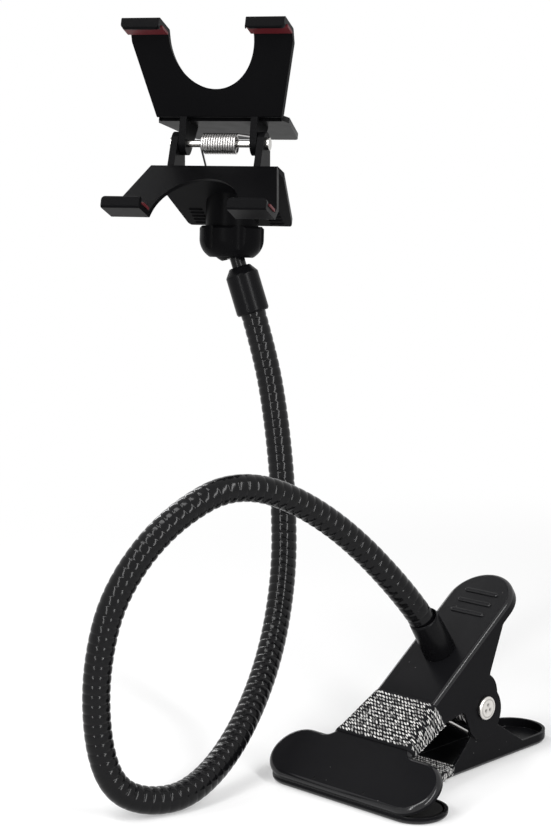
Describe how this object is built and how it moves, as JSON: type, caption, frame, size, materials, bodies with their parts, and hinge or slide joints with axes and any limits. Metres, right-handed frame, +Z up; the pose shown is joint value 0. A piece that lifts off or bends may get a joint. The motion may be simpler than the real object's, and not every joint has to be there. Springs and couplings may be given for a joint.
{
  "type": "phone gooseneck holder",
  "caption": "Desk phone holder: a sprung two-jaw clamp carries a bendable ribbed neck, and a ball joint on its end carries a sprung clip with claws that grip a phone.",
  "frame": {"origin": "on the underside of the lower jaw, below the clamp's rivet", "axes": "+Z up from the surface it lies on, +X along the rivet, -Y from the rivet to the jaw pads"},
  "size_m": [0.1837, 0.2109, 0.3088],
  "materials": {
    "jaw_paint": "satin powder coat",
    "rivet_steel": "nickel plated",
    "spring_steel": "drawn wire",
    "pin_steel": "zinc plated",
    "jaw_rubber": "matte",
    "band_weave": "black and white woven elastic",
    "neck_sleeve": "semi-gloss ribbed sleeve",
    "ferrule_black": "satin moulded",
    "ball_black": "polished moulded",
    "clip_black": "satin moulded",
    "claw_rubber": "dark red, matte"
  },
  "bodies": {
    "clamp_lower": {"lower_jaw": "jaw_paint", "lower_jaw_pad": "jaw_rubber", "lower_band": "band_weave", "pivot_rivet": "rivet_steel", "clamp_spring": "spring_steel"},
    "clamp_upper": {"upper_jaw": "jaw_paint", "upper_jaw_pad": "jaw_rubber", "upper_band": "band_weave", "base_ferrule": "ferrule_black", "base_washer": "pin_steel", "base_screw": "pin_steel", "neck_run_1": "neck_sleeve", "neck_flex_1": "neck_sleeve"},
    "neck_2": {"neck_run_2": "neck_sleeve", "neck_flex_2": "neck_sleeve"},
    "neck_3": {"neck_run_3": "neck_sleeve", "neck_flex_3": "neck_sleeve"},
    "neck_4": {"neck_run_4": "neck_sleeve", "neck_flex_4": "neck_sleeve"},
    "neck_end": {"neck_run_5": "neck_sleeve", "top_ferrule": "ferrule_black", "ball_stud": "ball_black"},
    "seat": {"ball_seat": "ball_black"},
    "nut": {"lock_nut": "clip_black"},
    "clip_lower": {"clip_lower_frame": "clip_black", "clip_hinge_pin": "pin_steel", "clip_spring": "spring_steel", "claw_pad_lower_left": "claw_rubber", "claw_pad_lower_right": "claw_rubber"},
    "clip_upper": {"clip_upper_frame": "clip_black", "claw_pad_upper_left": "claw_rubber", "claw_pad_upper_right": "claw_rubber"}
  },
  "joints": [
    {"name": "clamp_hinge", "type": "hinge", "parent": "clamp_lower", "child": "clamp_upper", "pos_m": [0, 0, 0.0262], "axis": [-1, 0, 0], "range_deg": [0, 40], "stiffness_Nm_per_rad": 0.8, "springref_deg": -85.94, "deforming": ["clamp_spring"]},
    {"name": "neck_bend_1", "type": "hinge", "parent": "clamp_upper", "child": "neck_2", "pos_m": [-0.019, -0.056, 0.11], "axis": [0.9247, -0.1277, 0.3585], "range_deg": [-25, 6], "deforming": ["neck_flex_1"]},
    {"name": "neck_bend_2", "type": "hinge", "parent": "neck_2", "child": "neck_3", "pos_m": [-0.052, -0.144, 0.09], "axis": [0.9482, -0.3154, -0.037], "range_deg": [-20, 20], "deforming": ["neck_flex_2"]},
    {"name": "neck_bend_3", "type": "hinge", "parent": "neck_3", "child": "neck_4", "pos_m": [-0.057, -0.054, 0.041], "axis": [0.9517, 0.2665, 0.1523], "range_deg": [-20, 20], "deforming": ["neck_flex_3"]},
    {"name": "neck_bend_4", "type": "hinge", "parent": "neck_4", "child": "neck_end", "pos_m": [-0.085, -0.02, 0.138], "axis": [0.2182, -0.9602, 0.1746], "range_deg": [-25, 25], "deforming": ["neck_flex_4"]},
    {"name": "head_tilt", "type": "hinge", "parent": "neck_end", "child": "seat", "pos_m": [-0.10939, -0.02286, 0.21501], "axis": [0.8829, 0.4695, 0], "range_deg": [-12, 15]},
    {"name": "head_pan", "type": "hinge", "parent": "seat", "child": "nut", "pos_m": [-0.10939, -0.02286, 0.21501], "axis": [0.4677, -0.8796, 0.0872], "range_deg": [-4, 38]},
    {"name": "head_spin", "type": "hinge", "parent": "nut", "child": "clip_lower", "pos_m": [-0.10939, -0.02286, 0.21501], "axis": [0.0409, -0.077, -0.9962], "continuous": true},
    {"name": "clip_hinge", "type": "hinge", "parent": "clip_lower", "child": "clip_upper", "pos_m": [-0.10205, -0.03665, 0.25688], "axis": [-0.8829, -0.4695, 0], "range_deg": [0, 15], "stiffness_Nm_per_rad": 0.5, "springref_deg": -57.3, "deforming": ["clip_spring"]}
  ]
}
